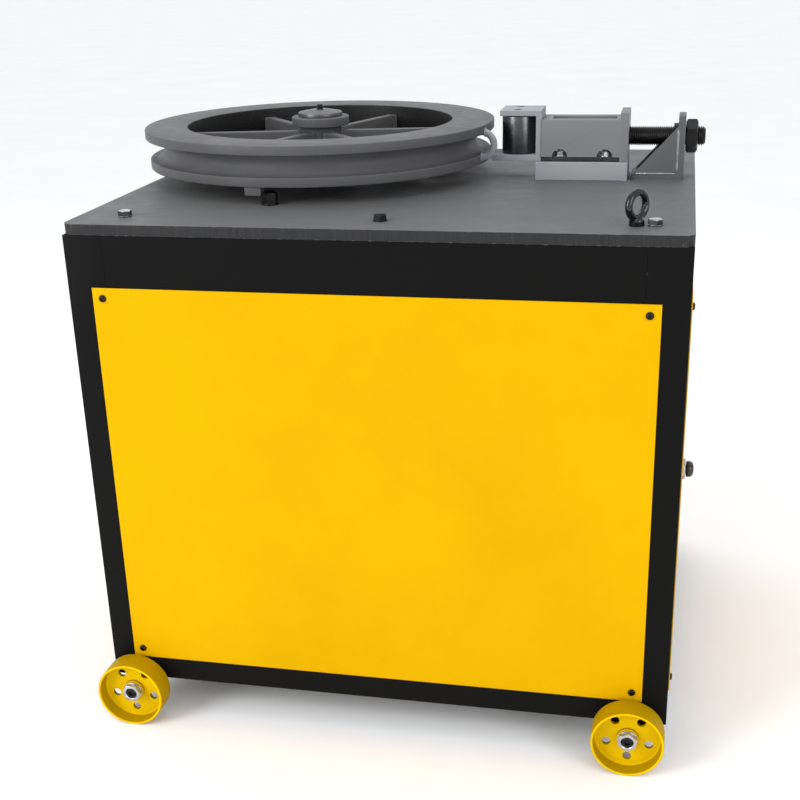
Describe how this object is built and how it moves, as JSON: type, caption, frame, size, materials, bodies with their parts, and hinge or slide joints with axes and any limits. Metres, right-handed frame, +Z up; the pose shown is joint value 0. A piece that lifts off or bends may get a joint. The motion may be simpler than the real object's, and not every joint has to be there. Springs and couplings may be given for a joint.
{
  "type": "rebar bender",
  "caption": "Cabinet bending machine with a grooved bending wheel on a vertical spindle, a screw-fed counter roller and four road wheels.",
  "frame": {"origin": "on the floor, under the middle of the cabinet", "axes": "+X to the right seen from the front, towards the adjusting screw; +Y to the back; +Z up"},
  "size_m": [0.837, 0.746, 0.832],
  "materials": {
    "black_paint": "satin black enamel",
    "yellow_paint": "bright yellow enamel",
    "grey_paint": "mid grey enamel",
    "light_grey_paint": "light grey enamel",
    "dark_paint": "matt dark primer",
    "wheel_paint": "grey painted casting",
    "motor_paint": "blue-grey enamel",
    "zinc_steel": "zinc plated",
    "ground_steel": "ground",
    "black_steel": "black oxide",
    "bronze": "cast bronze",
    "belt_rubber": "moulded",
    "black_plastic": "glossy"
  },
  "bodies": {
    "cabinet": {"frame_posts": "black_paint", "top_rails": "black_paint", "bottom_rails": "black_paint", "table_plate": "grey_paint", "front_panel": "yellow_paint", "rear_panel": "yellow_paint", "side_panels": "yellow_paint", "panel_screws": "black_steel", "table_bolts": "zinc_steel", "stop_bolt": "black_steel", "eye_bolt": "zinc_steel", "base_block": "light_grey_paint", "rod_bracket": "grey_paint", "bearing_housing": "dark_paint", "m12_bolts": "zinc_steel", "bearings": "ground_steel", "gearbox_case": "motor_paint", "gearbox_cover": "motor_paint", "hanger_bolts": "zinc_steel", "motor_rails": "black_paint", "motor_housing": "motor_paint", "fan_cover": "dark_paint", "terminal_box": "dark_paint", "v_belts": "belt_rubber", "axles": "black_steel", "axle_nuts": "zinc_steel", "control_box": "light_grey_paint", "contactor": "black_plastic", "button_collar": "zinc_steel", "cable_gland": "black_plastic"},
    "bending_wheel": {"spindle": "ground_steel", "worm_wheel": "bronze", "wheel_hub": "wheel_paint", "wheel_ribs": "wheel_paint", "wheel_web": "dark_paint", "wheel_rim": "wheel_paint", "bar_hook": "wheel_paint", "trip_dog": "wheel_paint", "spindle_cap": "ground_steel", "cap_bolt": "black_steel"},
    "worm": {"worm_shaft": "ground_steel", "worm_pulley": "dark_paint"},
    "motor_rotor": {"motor_shaft": "ground_steel", "motor_pulley": "dark_paint", "motor_fan": "black_plastic"},
    "carriage": {"slide_housing": "grey_paint", "roller_yoke": "light_grey_paint", "clamp_bolts": "zinc_steel", "t_nuts": "zinc_steel", "roller_pin": "ground_steel", "pin_screws": "black_steel"},
    "feed_screw": {"adjusting_screw": "black_steel", "thrust_collar": "black_steel", "rod_nut": "black_steel"},
    "counter_roller": {"roller": "black_steel"},
    "stop_button": {"stop_button": "black_plastic"},
    "front_left_wheel": {"road_wheel_front_left": "yellow_paint"},
    "front_right_wheel": {"road_wheel_front_right": "yellow_paint"},
    "rear_left_wheel": {"road_wheel_rear_left": "yellow_paint"},
    "rear_right_wheel": {"road_wheel_rear_right": "yellow_paint"}
  },
  "joints": [
    {"name": "wheel_turn", "type": "hinge", "parent": "cabinet", "child": "bending_wheel", "pos_m": [-0.157, 0.066, 0.78], "axis": [0, 0, -1], "range_deg": [0, 330]},
    {"name": "worm_turn", "type": "hinge", "parent": "cabinet", "child": "worm", "pos_m": [-0.157, -0.0406, 0.513], "axis": [1, 0, 0], "range_deg": [0, 13200]},
    {"name": "motor_turn", "type": "hinge", "parent": "cabinet", "child": "motor_rotor", "pos_m": [0.1, -0.07, 0.194], "axis": [1, 0, 0], "range_deg": [0, 28129]},
    {"name": "roller_feed", "type": "slide", "parent": "cabinet", "child": "carriage", "axis": [1, 0, 0], "range_m": [-0.008, 0.022]},
    {"name": "screw_turn", "type": "hinge", "parent": "cabinet", "child": "feed_screw", "pos_m": [0.3, 0.066, 0.787], "axis": [-1, 0, 0], "range_deg": [-960.1, 2640.1]},
    {"name": "roller_spin", "type": "hinge", "parent": "carriage", "child": "counter_roller", "pos_m": [0.145, 0.066, 0.79], "axis": [0, 0, 1], "continuous": true},
    {"name": "stop_button_push", "type": "slide", "parent": "cabinet", "child": "stop_button", "axis": [-1, 0, 0], "range_m": [0, 0.004], "stiffness_N_per_m": 600},
    {"name": "front_left_roll", "type": "hinge", "parent": "cabinet", "child": "front_left_wheel", "pos_m": [-0.362, -0.3555, 0.049], "axis": [0, 1, 0], "continuous": true},
    {"name": "front_right_roll", "type": "hinge", "parent": "cabinet", "child": "front_right_wheel", "pos_m": [0.35, -0.3555, 0.049], "axis": [0, 1, 0], "continuous": true},
    {"name": "rear_left_roll", "type": "hinge", "parent": "cabinet", "child": "rear_left_wheel", "pos_m": [-0.362, 0.3555, 0.049], "axis": [0, 1, 0], "continuous": true},
    {"name": "rear_right_roll", "type": "hinge", "parent": "cabinet", "child": "rear_right_wheel", "pos_m": [0.35, 0.3555, 0.049], "axis": [0, 1, 0], "continuous": true}
  ],
  "couplings": [
    {"joint": "worm_turn", "follows": "wheel_turn", "ratio": 40},
    {"joint": "motor_turn", "follows": "wheel_turn", "ratio": 85.238},
    {"joint": "screw_turn", "follows": "roller_feed", "rad_per_m": 2094.4}
  ]
}
